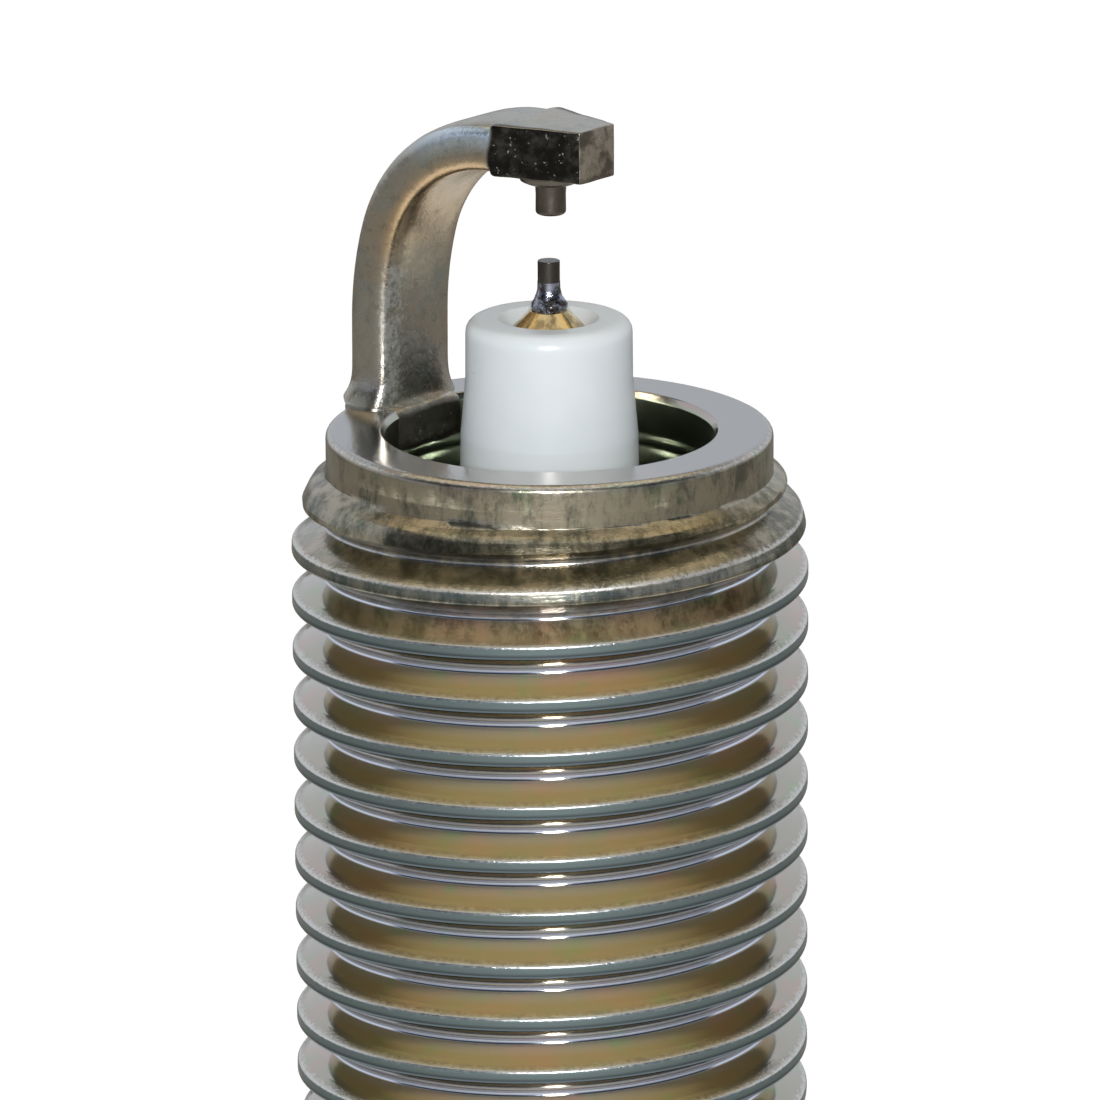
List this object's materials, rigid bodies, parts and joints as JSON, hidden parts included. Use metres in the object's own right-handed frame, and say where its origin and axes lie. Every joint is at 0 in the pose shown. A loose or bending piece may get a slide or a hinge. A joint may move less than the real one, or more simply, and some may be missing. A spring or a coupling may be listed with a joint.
{
  "type": "spark plug",
  "caption": "Motorcycle spark plug with a threaded plated steel shell, hexagon, captive gasket, white insulator and fine-wire electrodes.",
  "frame": {"origin": "on the plug's axis, in the plane where the gasket seals against the cylinder head", "axes": "+Z along the axis towards the firing end; -X is the side where the ground electrode stands on the rim"},
  "size_m": [0.0166, 0.018, 0.0768],
  "materials": {
    "plated_steel": "bright zinc plating with a faint iridescent passivation, lavender-grey on the rim and golden brown to green in the thread",
    "nickel_alloy": "warm satin nickel alloy with bright worn edges",
    "noble_metal": "dark grey, smooth",
    "glazed_alumina": "white glossy ceramic, fine-grained at the nose",
    "copper": "bare copper, hidden inside the centre electrode",
    "bare_steel": "plain turned steel",
    "plated_terminal": "bright nickel-plated turned steel",
    "seal_glass": "dull copper-bearing glass, hidden",
    "resistor_glass": "dull dark glass and carbon, hidden",
    "talc": "packed white powder, hidden"
  },
  "bodies": {
    "plug": {"shell": "plated_steel", "ground_electrode": "nickel_alloy", "ground_tip_pad": "nickel_alloy", "ground_tip": "noble_metal", "insulator": "glazed_alumina", "centre_electrode": "nickel_alloy", "centre_electrode_core": "copper", "centre_tip_weld": "nickel_alloy", "centre_tip": "noble_metal", "lower_glass_seal": "seal_glass", "resistor": "resistor_glass", "upper_glass_seal": "seal_glass", "terminal_stud": "bare_steel", "inner_seat_washer": "bare_steel", "lower_packing_ring": "bare_steel", "talc_seal": "talc", "upper_packing_ring": "bare_steel"},
    "terminal": {"terminal_nut": "plated_terminal"},
    "gasket_ring": {"gasket": "plated_steel"}
  },
  "joints": [
    {"name": "terminal_nut_unscrew", "type": "slide", "parent": "plug", "child": "terminal", "axis": [0, 0, -1], "range_m": [0, 0.0052]},
    {"name": "gasket_float", "type": "slide", "parent": "plug", "child": "gasket_ring", "axis": [0, 0, 1], "range_m": [0, 0.0012]}
  ]
}
